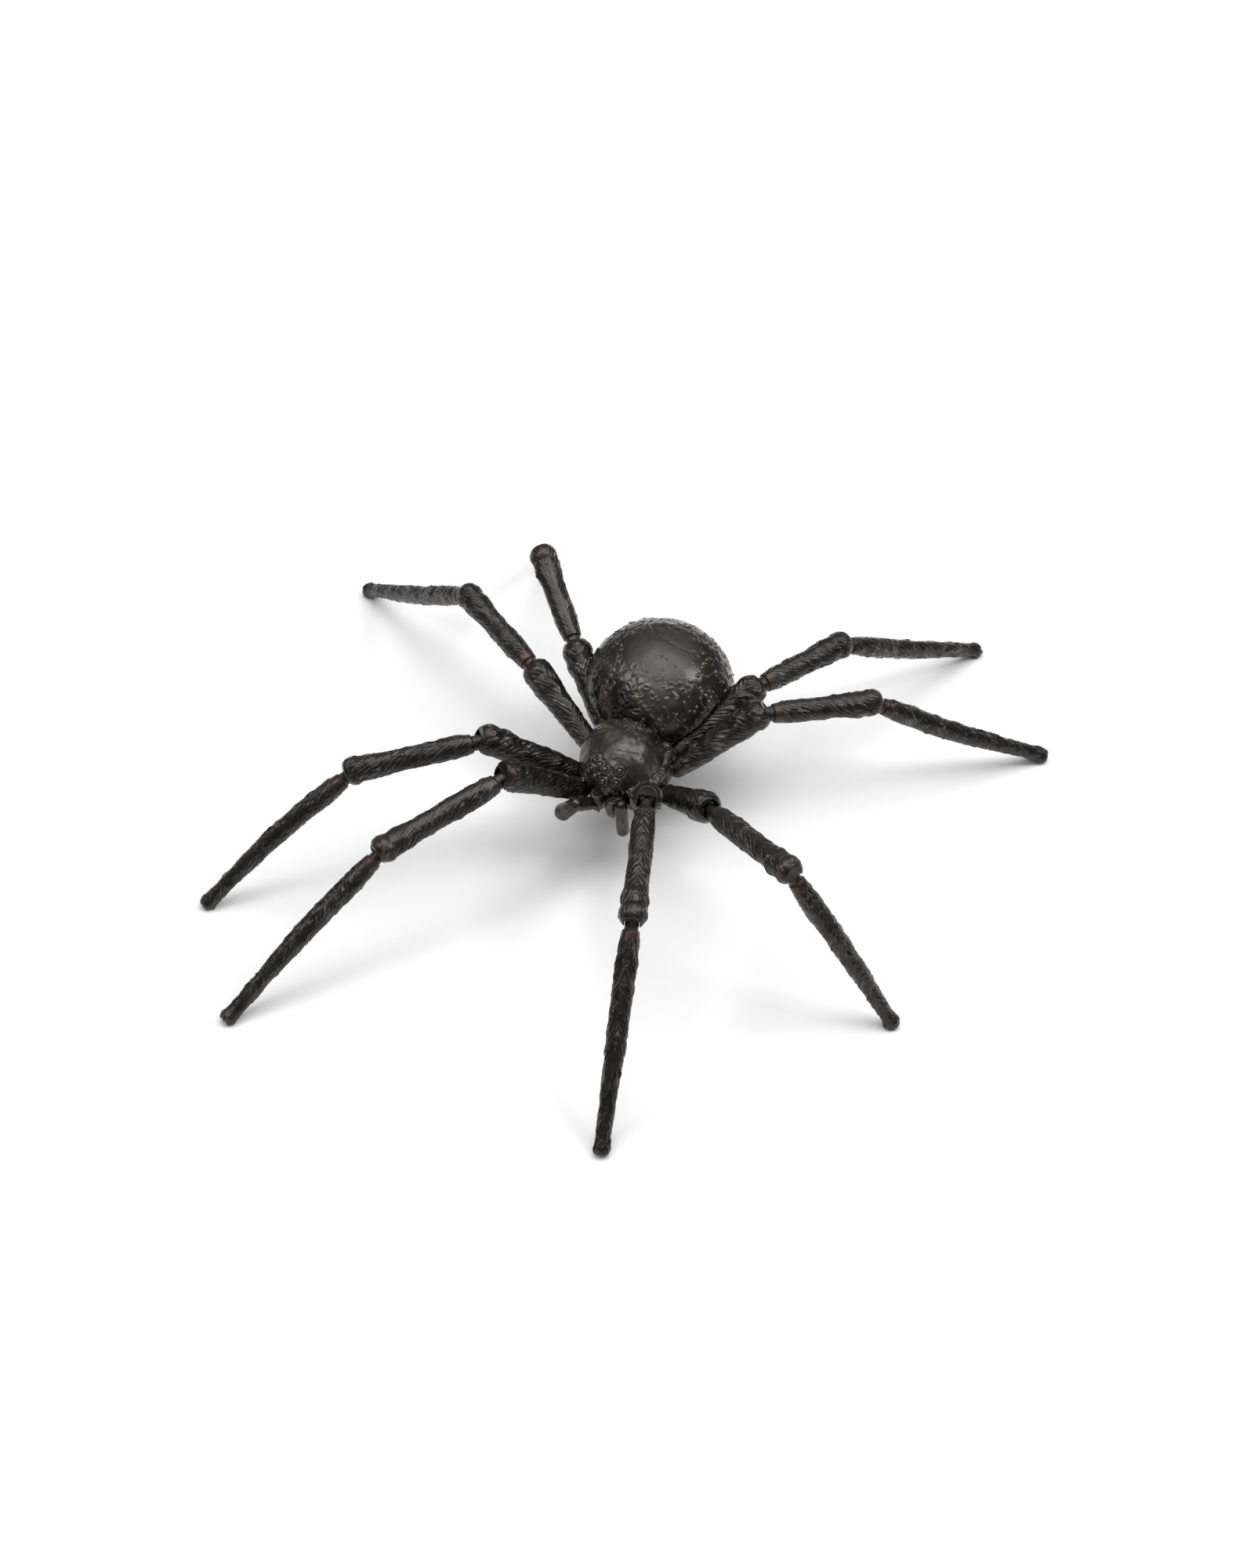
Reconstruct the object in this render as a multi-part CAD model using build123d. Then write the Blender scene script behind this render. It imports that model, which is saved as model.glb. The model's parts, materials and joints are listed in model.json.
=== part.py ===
from build123d import *
import os
from dataclasses import dataclass
from math import asin, cos, degrees, radians, sin

"""Posable cast-metal spider figure, in millimetres.

The figure faces -Y and stands on +Z up.  "left" and "right" are the spider's own sides,
so its left legs are on +X.  Legs are numbered from the front, 1 to 4.
Each leg is three castings in a chain: femur, tibia and metatarsus.  The femur swings on an
upright pin clamped between the carapace and the sternum plate, the knee joins femur to
tibia, and the shin joint joins tibia to metatarsus.
"""

# ---------------------------------------------------------------- driving dimensions
# Trunk
HIP_HEIGHT = 21.5            # height of the coxae above the ground
CARAPACE_CENTRE = (-1.0, 0.6)
CARAPACE_DOME = (11.6, 12.8, 10.8)   # half-axes of the dome
DOME_SHIFT = -1.2            # the dome's middle is this far right of the rim's
CARAPACE_RIM = (23.6, 24.0, 2.0)     # width, length and thickness of the rim
CARAPACE_RIM_CORNER = 8.0
HEAD_TURN = 9.0              # the head turns this far to the spider's right
HEAD_REACH = 5.8             # head centre ahead of the carapace centre
HEAD_RISE = 1.4              # head centre above the carapace's underside
HEAD = (7.2, 8.2, 7.2)       # half-axes of the head
STERNUM_PLATE = (21.6, 22.0, 2.0)    # width, length and thickness of the sternum's plate
STERNUM_CENTRE_Y = 0.6
STERNUM_CORNER = 6.5
STERNUM_DOME = (10.0, 10.4, 5.2)     # half-axes of the dome under the plate
SPINE_HALF_WIDTH = 4.3       # block of the sternum plate between the two rows of coxae
SPINE_FRONT = -9.0
SPINE_REAR = 6.3

# Abdomen
ABDOMEN_CENTRE = (-0.9, 28.6, 25.8)
ABDOMEN = (20.5, 20.5, 17.5)         # half-axes
ABDOMEN_WALL = 2.6
SEAM_LIP_HEIGHT = 2.0        # the lower shell's lip stands this far into the upper shell
SEAM_LIP_WALL = 1.4
SEAM_LIP_GAP = 0.3
FLANK_GAP = 0.8              # room between a rear femur and the hollow in the abdomen's flank
HIP_NOTCH_GAP = 0.3          # room between a femur and its notch in the carapace's rim

# Fits and fasteners
RUNNING_GAP = 0.05           # radial clearance of a pin in the piece that turns on it
PUSH_GAP = 0.005             # radial clearance of a pin or peg in the piece that holds it
SIDE_GAP = 0.12              # gap on each side of a tongue or lug
HIP_PIN_RADIUS = 1.0
HIP_PIN_GRIP = 1.5           # depth of a hip pin in the carapace and in the sternum plate
LUG_RADIUS = 2.45
LUG_THICKNESS = 4.0
STUD_RADIUS = 1.5
NUT_SEAT = 10.8              # face inside the abdomen's front wall that the nut bears on
SCREW_RADIUS = 0.9
SCREW_HEAD_RADIUS = 1.7
SCREW_HEAD_HEIGHT = 1.3

# Legs, by pair from the front: hip position, and length of each casting between its joints
HIPS = ((7.2, -8.2), (8.8, -3.0), (8.8, 2.3), (8.0, 7.4))
FEMUR_LENGTHS = (30.0, 32.5, 30.0, 30.5)
TIBIA_LENGTHS = (39.5, 37.0, 32.5, 30.5)
METATARSUS_LENGTHS = (60.0, 55.0, 59.0, 56.5)
COXA_LENGTH = 4.4            # level stretch of a femur casting before it rises
COXA_RADIUS = 1.9
ELBOW_RADIUS = 2.6
FEMUR_RADIUS = 3.45
TIBIA_RADIUS = 3.15
METATARSUS_RADIUS = 2.85
FOOT_RADIUS = 2.1
FOOT_FLAT_RADIUS = 1.0       # radius of the flat on which each foot stands

# Finish details
EYE_ROWS = (                 # elevation, azimuths and bead radius of each row on the head
    (50.0, (-62.0, -35.0, -9.0, 42.0), 0.85),
    (26.0, (-52.0, -27.0, -2.0, 31.0), 0.8),
)
CHELICERA = (2.15, 3.6, 5.4)
CHELICERA_OFFSET = 2.3
CHELICERA_SHIFT = 0.9        # the pair sits this far to the left of the head's centre line
CHELICERA_REACH = 6.8        # chelicera centre ahead of the head's centre
CHELICERA_BACK = -10.75      # the chelicerae end here, ahead of the sternum plate
CHELICERA_FLAT = 5.6         # flat end of a chelicera below the carapace's underside
FANG_RADIUS = 0.8
FANG_LENGTH = 2.4
PEG_RADIUS = 1.0
PEG_LENGTH = 1.6
PEG_BACK = 0.2               # the peg on a chelicera's top is this far behind its centre
RIGHT_PALP = (((-5.6, -14.2, 20.6), (-8.7, -19.2, 23.9), (-12.4, -18.6, 19.2)), (1.8, 1.8, 2.4))
LEFT_PALP = (((2.0, -12.8, 21.0), (3.4, -16.6, 25.0), (4.2, -17.2, 16.2)), (1.7, 1.6, 1.7))


@dataclass
class Hinge:
    """A tongue between two cheeks on a cross pin."""
    cuff: float        # radius of the rounded cuff that forms the cheeks
    neck: float        # radius of the neck and half-thickness of the tongue
    knuckle: float     # radius of the tongue's round end
    pin: float         # radius of the cross pin
    rim: float         # distance from the pin to the flat rim of the cuff


KNEE = Hinge(cuff=4.3, neck=2.1, knuckle=2.6, pin=1.0, rim=3.3)
SHIN = Hinge(cuff=3.85, neck=1.85, knuckle=2.3, pin=0.9, rim=2.95)
TRAVEL = (-12, 20)           # how far each knee and shin bends up and down from its rest pose


@dataclass
class Leg:
    """Rest pose of one leg: yaw from straight sideways (+ is rearward), pitches above level."""
    name: str
    side: int              # +1 for the spider's left, -1 for its right
    pair: int
    yaw: float
    femur_pitch: float
    tibia_pitch: float
    lean: float            # tilt of the leg's plane about its own yaw direction
    swing: tuple           # swing range from rest, + is rearward


LEGS = (
    Leg("right_leg_1", -1, 1, -52, 33, -7, -7, (-4, 4)),
    Leg("right_leg_2", -1, 2, -33, 29, -3, -12, (-3, 14)),
    Leg("right_leg_3", -1, 3, 33, 17, 9, -3, (-14, 0)),
    Leg("right_leg_4", -1, 4, 57, 14, 23, 15, (-8, 0)),
    Leg("left_leg_1", 1, 1, -76, 47, -2, 6, (-2, 20)),
    Leg("left_leg_2", 1, 2, -32, 34, 14, -17, (-3, 14)),
    Leg("left_leg_3", 1, 3, 33, 28, -5, 5, (-14, 0)),
    Leg("left_leg_4", 1, 4, 54, 17, 0, 3, (-6, 0)),
)

UNDERSIDE = HIP_HEIGHT + LUG_THICKNESS / 2 + SIDE_GAP        # underside of the carapace
STERNUM_TOP = HIP_HEIGHT - LUG_THICKNESS / 2 - SIDE_GAP


# ---------------------------------------------------------------- general shapes
def ellipsoid(centre, half_axes):
    return Pos(*centre) * scale(Sphere(1), by=tuple(half_axes))


def block(low, high):
    """Box between two opposite corners."""
    size = [b - a for a, b in zip(low, high)]
    middle = [(a + b) / 2 for a, b in zip(low, high)]
    return Pos(*middle) * Box(*size)


def rod(start, end, radius, end_radius=None):
    """Straight rod or cone between two points."""
    start, end = Vector(*start), Vector(*end)
    length = (end - start).length
    place = Plane(origin=start, z_dir=end - start).location
    if end_radius is None or end_radius == radius:
        shape = Cylinder(radius, length, align=(Align.CENTER, Align.CENTER, Align.MIN))
    else:
        shape = Cone(radius, end_radius, length, align=(Align.CENTER, Align.CENTER, Align.MIN))
    return place * shape


def limb(points, radii):
    """Chain of cones with a ball at every point."""
    shape = Pos(*points[0]) * Sphere(radii[0])
    for start, end, radius, end_radius in zip(points, points[1:], radii, radii[1:]):
        shape += rod(start, end, radius, end_radius)
        shape += Pos(*end) * Sphere(end_radius)
    return shape


def turned(stations):
    """Solid of revolution about local X through (distance, radius) stations."""
    outline = Spline(*[(distance, radius) for distance, radius in stations])
    first, last = stations[0][0], stations[-1][0]
    ends = Polyline((last, stations[-1][1]), (last, 0), (first, 0), (first, stations[0][1]))
    return revolve(make_face(outline + ends), Axis.X)


# ---------------------------------------------------------------- hinge shapes
# Each is in the frame of a casting whose length runs along local X and whose joint pins
# run along local Y, with the pin at the local origin.
def cuff(hinge):
    return Sphere(hinge.cuff) & block((-9, -9, -9), (hinge.rim, 9, 9))


def cuff_slot(hinge, rest_bend):
    """Space that the next casting's tongue sweeps over its travel."""
    reach = 2 * hinge.cuff
    half_height = hinge.neck + SIDE_GAP
    sweep = Circle(hinge.knuckle + SIDE_GAP)
    limits = [rest_bend + travel for travel in TRAVEL]
    for bend in limits:
        sweep += Rot(0, 0, -bend) * Pos(reach / 2, 0) * Rectangle(reach, 2 * half_height)
    corners = [(reach * cos(radians(bend)), -reach * sin(radians(bend))) for bend in limits]
    sweep += make_face(Polyline((0, 0), *corners, (0, 0)))
    upright = Plane(origin=(0, 0, 0), x_dir=(1, 0, 0), z_dir=(0, -1, 0))
    return extrude(upright * sweep, hinge.neck + SIDE_GAP, both=True)


def pin_bore(hinge, gap):
    return Rot(90, 0, 0) * Cylinder(hinge.pin + gap, 4 * hinge.cuff)


def cross_pin(hinge):
    """Hinge pin, peened and filed flush with the cuff."""
    return pin_bore(hinge, 0) & Sphere(hinge.cuff - PUSH_GAP)


def tongue(hinge, neck_length):
    """Round-ended tongue and neck, from the pin outward along local X."""
    knuckle = Rot(90, 0, 0) * Cylinder(hinge.knuckle, 2 * hinge.neck)
    neck = rod((0, 0, 0), (neck_length, 0, 0), hinge.neck)
    return knuckle + neck


# ---------------------------------------------------------------- leg frames
def outward(leg):
    yaw = radians(leg.yaw)
    return Vector(leg.side * cos(yaw), sin(yaw), 0)


def upward(leg):
    """Up within the leg's own plane, which leans about the outward direction."""
    out, lean = outward(leg), radians(leg.lean)
    return Vector(0, 0, 1) * cos(lean) + Vector(-out.Y, out.X, 0) * sin(lean)


def along(leg, pitch):
    return outward(leg) * cos(radians(pitch)) + upward(leg) * sin(radians(pitch))


def casting_plane(leg, start, pitch):
    """Frame with local X along the casting and local Y along the joint pins."""
    return Plane(origin=start, x_dir=along(leg, pitch), z_dir=along(leg, pitch + 90))


def hip_point(leg):
    x, y = HIPS[leg.pair - 1]
    return Vector(leg.side * x, y, HIP_HEIGHT)


def elbow_point(leg):
    return hip_point(leg) + outward(leg) * COXA_LENGTH


def knee_point(leg):
    return hip_point(leg) + along(leg, leg.femur_pitch) * FEMUR_LENGTHS[leg.pair - 1]


def shin_point(leg):
    return knee_point(leg) + along(leg, leg.tibia_pitch) * TIBIA_LENGTHS[leg.pair - 1]


def foot_centre_height():
    """Height of a foot's ball centre that leaves the wanted flat at ground level."""
    return (FOOT_RADIUS ** 2 - FOOT_FLAT_RADIUS ** 2) ** 0.5


def metatarsus_pitch(leg):
    """Pitch that puts the foot on the ground."""
    drop = foot_centre_height() - shin_point(leg).Z
    rise_per_length = METATARSUS_LENGTHS[leg.pair - 1] * cos(radians(leg.lean))
    return degrees(asin(drop / rise_per_length))


def foot_point(leg):
    reach = along(leg, metatarsus_pitch(leg)) * METATARSUS_LENGTHS[leg.pair - 1]
    return shin_point(leg) + reach


def hinge_axis(leg):
    """Direction of the leg's joint pins; a positive turn about it bends the leg down."""
    return upward(leg).cross(outward(leg))


# ---------------------------------------------------------------- leg castings
def rising_frame(leg):
    """Frame of the rising part of a femur, at the elbow, and its length to the knee."""
    start, end = elbow_point(leg), knee_point(leg)
    direction = (end - start).normalized()
    normal = direction.cross(hinge_axis(leg))
    return Plane(origin=start, x_dir=direction, z_dir=normal), (end - start).length


def femur_barrel(length, extra=0.0):
    """Swelling barrel of a femur between its elbow and its cuff."""
    stations = (
        (0, ELBOW_RADIUS - 0.05 + extra),
        (0.22 * length, 3.05 + extra),
        (0.55 * length, FEMUR_RADIUS + extra),
        (length - 6.5, FEMUR_RADIUS + 0.15 + extra),
        (length - 1.6, 3.95 + extra),
    )
    return turned(stations)


def femur_root(leg, extra=0.0):
    """Lug, coxa and elbow of a femur, without its bore."""
    hip, elbow = hip_point(leg), elbow_point(leg)
    lug = Pos(*hip) * Cylinder(LUG_RADIUS + extra, LUG_THICKNESS + 2 * extra)
    return lug + rod(hip, elbow, COXA_RADIUS + extra) + Pos(*elbow) * Sphere(ELBOW_RADIUS + extra)


def femur(leg):
    frame, length = rising_frame(leg)
    knee_frame = Plane(origin=knee_point(leg), x_dir=frame.x_dir, z_dir=frame.z_dir)
    pitch_of_barrel = degrees(asin(frame.x_dir.dot(upward(leg))))
    slot = cuff_slot(KNEE, pitch_of_barrel - leg.tibia_pitch)

    shape = femur_root(leg) + frame.location * femur_barrel(length)
    shape += knee_frame.location * cuff(KNEE)
    shape -= Pos(*hip_point(leg)) * Cylinder(HIP_PIN_RADIUS + RUNNING_GAP, 2 * LUG_THICKNESS)
    shape -= knee_frame.location * (slot + pin_bore(KNEE, PUSH_GAP))
    return shape


def tibia(leg):
    length = TIBIA_LENGTHS[leg.pair - 1]
    shoulder = KNEE.cuff + 0.35
    barrel = turned((
        (shoulder, 2.6),
        (shoulder + 2.6, 2.95),
        (0.5 * length, TIBIA_RADIUS),
        (length - 6.0, TIBIA_RADIUS + 0.05),
        (length - 1.5, 3.45),
    ))
    shape = tongue(KNEE, shoulder + 1) + barrel + Pos(length, 0, 0) * cuff(SHIN)
    shape -= pin_bore(KNEE, RUNNING_GAP)
    slot = cuff_slot(SHIN, leg.tibia_pitch - metatarsus_pitch(leg))
    shape -= Pos(length, 0, 0) * (slot + pin_bore(SHIN, PUSH_GAP))
    return casting_plane(leg, knee_point(leg), leg.tibia_pitch).location * shape


def metatarsus(leg):
    length = METATARSUS_LENGTHS[leg.pair - 1]
    shoulder = SHIN.cuff + 0.35
    barrel = turned((
        (shoulder, 2.3),
        (shoulder + 2.4, 2.6),
        (0.3 * length, METATARSUS_RADIUS),
        (0.62 * length, 2.6),
        (0.86 * length, 2.1),
        (length, FOOT_RADIUS - 0.05),
    ))
    shape = tongue(SHIN, shoulder + 1) + barrel + Pos(length, 0, 0) * Sphere(FOOT_RADIUS)
    shape -= pin_bore(SHIN, RUNNING_GAP)
    placed = casting_plane(leg, shin_point(leg), metatarsus_pitch(leg)).location * shape
    foot = foot_point(leg)
    ground = Pos(foot.X, foot.Y, -5) * Box(20, 20, 10)
    return placed - ground


def knee_pin(leg):
    return casting_plane(leg, knee_point(leg), leg.femur_pitch).location * cross_pin(KNEE)


def shin_pin(leg):
    return casting_plane(leg, shin_point(leg), leg.tibia_pitch).location * cross_pin(SHIN)


def hip_pins():
    length = LUG_THICKNESS + 2 * SIDE_GAP + 2 * HIP_PIN_GRIP
    return [Pos(*hip_point(leg)) * Cylinder(HIP_PIN_RADIUS, length) for leg in LEGS]


# ---------------------------------------------------------------- head and thorax
def head_frame():
    """Frame at the head's centre, with local -Y along the way the face points."""
    x, y = CARAPACE_CENTRE
    turn = Rot(0, 0, -HEAD_TURN)
    return Pos(x, y, UNDERSIDE + HEAD_RISE) * turn * Pos(0, -HEAD_REACH, 0)


def on_head(azimuth, elevation):
    """Point of the head's surface, in the head's frame."""
    a, e = radians(azimuth), radians(elevation)
    return (HEAD[0] * sin(a) * cos(e), -HEAD[1] * cos(a) * cos(e), HEAD[2] * sin(e))


def eye_beads():
    beads = []
    for elevation, azimuths, radius in EYE_ROWS:
        for azimuth in azimuths:
            beads.append(head_frame() * Pos(*on_head(azimuth, elevation)) * Sphere(radius))
    return beads


def eye_sockets():
    sockets = None
    for elevation, azimuths, radius in EYE_ROWS:
        for azimuth in azimuths:
            place = head_frame() * Pos(*on_head(azimuth, elevation))
            socket = place * Sphere(radius + PUSH_GAP)
            sockets = socket if sockets is None else sockets + socket
    return sockets


def chelicera_place(side):
    """Frame at the middle of a chelicera's top, on the carapace's underside."""
    across = side * CHELICERA_OFFSET + CHELICERA_SHIFT
    return head_frame() * Pos(across, -CHELICERA_REACH, -HEAD_RISE)


def palp(side, extra=0.0):
    """The right palp bends out to a swollen end, the left one hangs straight."""
    points, radii = LEFT_PALP if side > 0 else RIGHT_PALP
    return limb(points, [radius + extra for radius in radii])


def chelicera(side):
    body = ellipsoid((0, 0, -2.2), CHELICERA) & block((-9, -9, -CHELICERA_FLAT), (9, 9, 0))
    socket = rod((0, -0.8, -CHELICERA_FLAT - 1), (0, -0.8, -CHELICERA_FLAT + 1.2), 0.5 + PUSH_GAP)
    placed = chelicera_place(side) * (body - socket)
    placed = placed & block((-30, -40, 0), (30, CHELICERA_BACK, 40))
    peg = rod((0, PEG_BACK, -1), (0, PEG_BACK, PEG_LENGTH), PEG_RADIUS)
    return placed + chelicera_place(side) * peg - palp(side, PUSH_GAP)


def fang(side):
    y = -0.8
    claw = rod((0, y, -CHELICERA_FLAT), (0, y, -CHELICERA_FLAT - FANG_LENGTH), FANG_RADIUS, 0.25)
    shank = rod((0, y, 1.1 - CHELICERA_FLAT), (0, y, -CHELICERA_FLAT - 0.3), 0.5)
    return chelicera_place(side) * (claw + shank)


def peg_bores():
    bore = rod((0, PEG_BACK, -1), (0, PEG_BACK, PEG_LENGTH + 0.1), PEG_RADIUS + PUSH_GAP)
    return chelicera_place(-1) * bore + chelicera_place(1) * bore


def screw_places():
    return ((0, -6.2), (-2.8, 3.6), (2.8, 3.6))


def abdomen_clearance():
    return ellipsoid(ABDOMEN_CENTRE, [half + 0.4 for half in ABDOMEN])


def pedicel_y():
    """Front and rear faces of the pedicel's collar, along the figure's length."""
    return SPINE_REAR, 9.2


def rounded_plate(centre, size, corner, base):
    width, length, thickness = size
    outline = RectangleRounded(width, length, corner)
    return Pos(centre[0], centre[1], base) * extrude(outline, thickness)


def hip_notches():
    """Room around each femur root, over its swing, in the carapace's rim."""
    notches = None
    for leg in LEGS:
        frame, length = rising_frame(leg)
        swept = Pos(*elbow_point(leg)) * Sphere(ELBOW_RADIUS + HIP_NOTCH_GAP)
        swept += frame.location * femur_barrel(length, HIP_NOTCH_GAP)
        turn = Axis(hip_point(leg), (0, 0, leg.side))
        for angle in sorted({leg.swing[0], 0, leg.swing[1]}):
            notch = swept.rotate(turn, angle)
            notches = notch if notches is None else notches + notch
    return notches


def carapace():
    x, y = CARAPACE_CENTRE
    dome = ellipsoid((x + DOME_SHIFT, y, UNDERSIDE), CARAPACE_DOME)
    rim = rounded_plate(CARAPACE_CENTRE, CARAPACE_RIM, CARAPACE_RIM_CORNER, UNDERSIDE)
    rim = fillet(rim.faces().sort_by(Axis.Z)[-1].edges(), 0.8 * CARAPACE_RIM[2])
    head = head_frame() * scale(Sphere(1), by=HEAD)
    shape = (dome + head) & block((-30, -30, UNDERSIDE), (30, 30, UNDERSIDE + 30))
    shape += rim
    shape -= abdomen_clearance()
    shape -= hip_notches()
    shape -= eye_sockets()
    shape -= peg_bores()
    for leg in LEGS:
        hip = hip_point(leg)
        shape -= Pos(hip.X, hip.Y, UNDERSIDE) * Cylinder(
            HIP_PIN_RADIUS + PUSH_GAP, 2 * HIP_PIN_GRIP + 0.1)
    for place in screw_places():
        shape -= Pos(*place, UNDERSIDE) * Cylinder(SCREW_RADIUS + PUSH_GAP, 6.2)
    return shape


def sternum_plate():
    centre = (0, STERNUM_CENTRE_Y)
    base = STERNUM_TOP - STERNUM_PLATE[2]
    dome = ellipsoid((*centre, STERNUM_TOP), STERNUM_DOME)
    shape = dome & block((-30, -30, 0), (30, 30, STERNUM_TOP))
    shape += rounded_plate(centre, STERNUM_PLATE, STERNUM_CORNER, base)
    shape += block((-SPINE_HALF_WIDTH, SPINE_FRONT, STERNUM_TOP),
                   (SPINE_HALF_WIDTH, SPINE_REAR, UNDERSIDE))
    shape -= abdomen_clearance()
    for leg in LEGS:
        hip = hip_point(leg)
        shape -= Pos(hip.X, hip.Y, STERNUM_TOP) * Cylinder(
            HIP_PIN_RADIUS + PUSH_GAP, 2 * HIP_PIN_GRIP + 0.1)
    for place in screw_places():
        shape -= Pos(*place, HIP_HEIGHT) * Cylinder(SCREW_RADIUS + PUSH_GAP, 30)
        shape -= Pos(*place, screw_seat() - 10) * Cylinder(SCREW_HEAD_RADIUS + 0.15, 20)
    shape -= rod((0, 0.4, HIP_HEIGHT), (0, 12, HIP_HEIGHT), STUD_RADIUS + PUSH_GAP)
    return shape


def screw_seat():
    return STERNUM_TOP - 2.2


def sternum_screws():
    screws = []
    for place in screw_places():
        shank = rod((*place, screw_seat()), (*place, UNDERSIDE + 3.0), SCREW_RADIUS)
        head = rod((*place, screw_seat() - SCREW_HEAD_HEIGHT), (*place, screw_seat()),
                   SCREW_HEAD_RADIUS)
        slot = Pos(*place, screw_seat() - SCREW_HEAD_HEIGHT) * Box(4, 0.5, 0.9)
        screws.append(shank + head - slot)
    return screws


def pedicel_stud():
    front, rear = pedicel_y()
    collar = rod((0, front, HIP_HEIGHT), (0, rear, HIP_HEIGHT), 3.1)
    collar -= block((-9, front - 1, 0), (9, rear + 1, HIP_HEIGHT - 2.0))
    collar -= block((-9, front - 1, HIP_HEIGHT + 2.0), (9, rear + 1, 40))
    return collar + rod((0, 0.6, HIP_HEIGHT), (0, 17.0, HIP_HEIGHT), STUD_RADIUS)


def pedicel_nut():
    hexagon = Plane(origin=(0, NUT_SEAT, HIP_HEIGHT), z_dir=(0, 1, 0)) * RegularPolygon(3.1, 6)
    return extrude(hexagon, 2.4) - rod((0, 9, HIP_HEIGHT), (0, 20, HIP_HEIGHT),
                                       STUD_RADIUS + PUSH_GAP)


# ---------------------------------------------------------------- abdomen
def rear_femur_room(extra):
    """Space around the two rear femurs beside the abdomen; they only swing away from it."""
    room = []
    for leg in LEGS:
        if leg.pair == 4:
            frame, length = rising_frame(leg)
            room.append(femur_root(leg, extra) + frame.location * femur_barrel(length, extra)
                        + Pos(*knee_point(leg)) * Sphere(KNEE.cuff + extra))
            room.append(Pos(*hip_point(leg)) * Cylinder(HIP_PIN_RADIUS + extra / 2, 12))
    return room


def abdomen_walls():
    inner = [half - ABDOMEN_WALL for half in ABDOMEN]
    hollow = ellipsoid(ABDOMEN_CENTRE, inner)
    for room in rear_femur_room(FLANK_GAP + ABDOMEN_WALL):
        hollow -= room
    front, rear = pedicel_y()
    hollow -= rod((0, 0, HIP_HEIGHT), (0, NUT_SEAT, HIP_HEIGHT), 5.0)
    hollow += rod((0, NUT_SEAT, HIP_HEIGHT), (0, NUT_SEAT + 8, HIP_HEIGHT), 3.6)
    shell = ellipsoid(ABDOMEN_CENTRE, ABDOMEN) - hollow
    for room in rear_femur_room(FLANK_GAP):
        shell -= room
    shell -= rod((0, front - 3, HIP_HEIGHT), (0, rear, HIP_HEIGHT), 3.6)
    shell -= rod((0, front, HIP_HEIGHT), (0, 20, HIP_HEIGHT), STUD_RADIUS + PUSH_GAP)
    return shell


def seam_lip():
    """Lip on the lower shell's rim, which stands up inside the upper shell."""
    x, y, z = ABDOMEN_CENTRE
    outer = ABDOMEN[0] - ABDOMEN_WALL - SEAM_LIP_GAP
    inner = outer - SEAM_LIP_WALL
    above = extrude(Circle(outer) - Circle(inner), SEAM_LIP_HEIGHT)
    below = extrude(Circle(outer + 2 * SEAM_LIP_GAP) - Circle(inner), -SEAM_LIP_HEIGHT)
    lip = Pos(x, y, z) * (above + below)
    lip -= rod((0, 0, HIP_HEIGHT), (0, NUT_SEAT + 8, HIP_HEIGHT), 3.6)
    for room in rear_femur_room(FLANK_GAP + ABDOMEN_WALL + SEAM_LIP_GAP):
        lip -= room
    return lip


def abdomen_upper_shell():
    z = ABDOMEN_CENTRE[2]
    return abdomen_walls() & block((-40, -10, z), (40, 60, 60))


def abdomen_lower_shell():
    z = ABDOMEN_CENTRE[2]
    return (abdomen_walls() & block((-40, -10, 0), (40, 60, z))) + seam_lip()


def spinnerets():
    """Cluster of blunt tubes at the abdomen's rear."""
    x, y, z = ABDOMEN_CENTRE
    rear, low = y + 19.2, z - 5.0
    cluster = None
    for dx, dz in ((-1.5, 0), (1.5, 0), (-1.1, -2.2), (1.1, -2.2)):
        tube = limb(((x + dx, rear - 2.5, low + dz), (x + 1.5 * dx, rear + 2.4, low + dz - 1.4)),
                    (1.5, 0.9))
        cluster = tube if cluster is None else cluster + tube
    return cluster - ellipsoid(ABDOMEN_CENTRE, [half + 0.01 for half in ABDOMEN])


# ---------------------------------------------------------------- assembly
def build_parts():
    """Every named piece, as a solid or a list of separate solids."""
    parts = {
        "carapace": carapace(),
        "sternum_plate": sternum_plate(),
        "sternum_screws": sternum_screws(),
        "hip_pins": hip_pins(),
        "eye_beads": eye_beads(),
        "pedicel_stud": pedicel_stud(),
        "pedicel_nut": pedicel_nut(),
        "abdomen_upper_shell": abdomen_upper_shell(),
        "abdomen_lower_shell": abdomen_lower_shell(),
        "spinnerets": spinnerets(),
    }
    for side_name, side in (("right", -1), ("left", 1)):
        parts[f"{side_name}_chelicera"] = chelicera(side)
        parts[f"{side_name}_fang"] = fang(side)
        parts[f"{side_name}_palp"] = palp(side)
    for leg in LEGS:
        parts[f"{leg.name}_femur"] = femur(leg)
        parts[f"{leg.name}_knee_pin"] = knee_pin(leg)
        parts[f"{leg.name}_tibia"] = tibia(leg)
        parts[f"{leg.name}_shin_pin"] = shin_pin(leg)
        parts[f"{leg.name}_metatarsus"] = metatarsus(leg)
    return parts


def ground_origin(parts):
    """Move that puts the origin on the ground under the middle of the figure's box."""
    everything = Compound(children=[solid for shape in parts.values() for solid in solids_of(shape)])
    box = everything.bounding_box()
    return Pos(-(box.min.X + box.max.X) / 2, -(box.min.Y + box.max.Y) / 2, 0)


def solids_of(shape):
    pieces = shape if isinstance(shape, list) else [shape]
    return [solid for piece in pieces for solid in piece.solids()]


def main():
    os.makedirs("parts", exist_ok=True)
    parts = build_parts()
    move = ground_origin(parts)
    for name, shape in parts.items():
        solids = [move * solid for solid in solids_of(shape)]
        export_step(solids[0] if len(solids) == 1 else Compound(children=solids),
                    f"parts/{name}.step")
    print("origin shift", move.position)


if __name__ == "__main__":
    main()
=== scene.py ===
"""Looks of a posable cast-metal spider figure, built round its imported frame."""
import itertools
import json
import math

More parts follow.
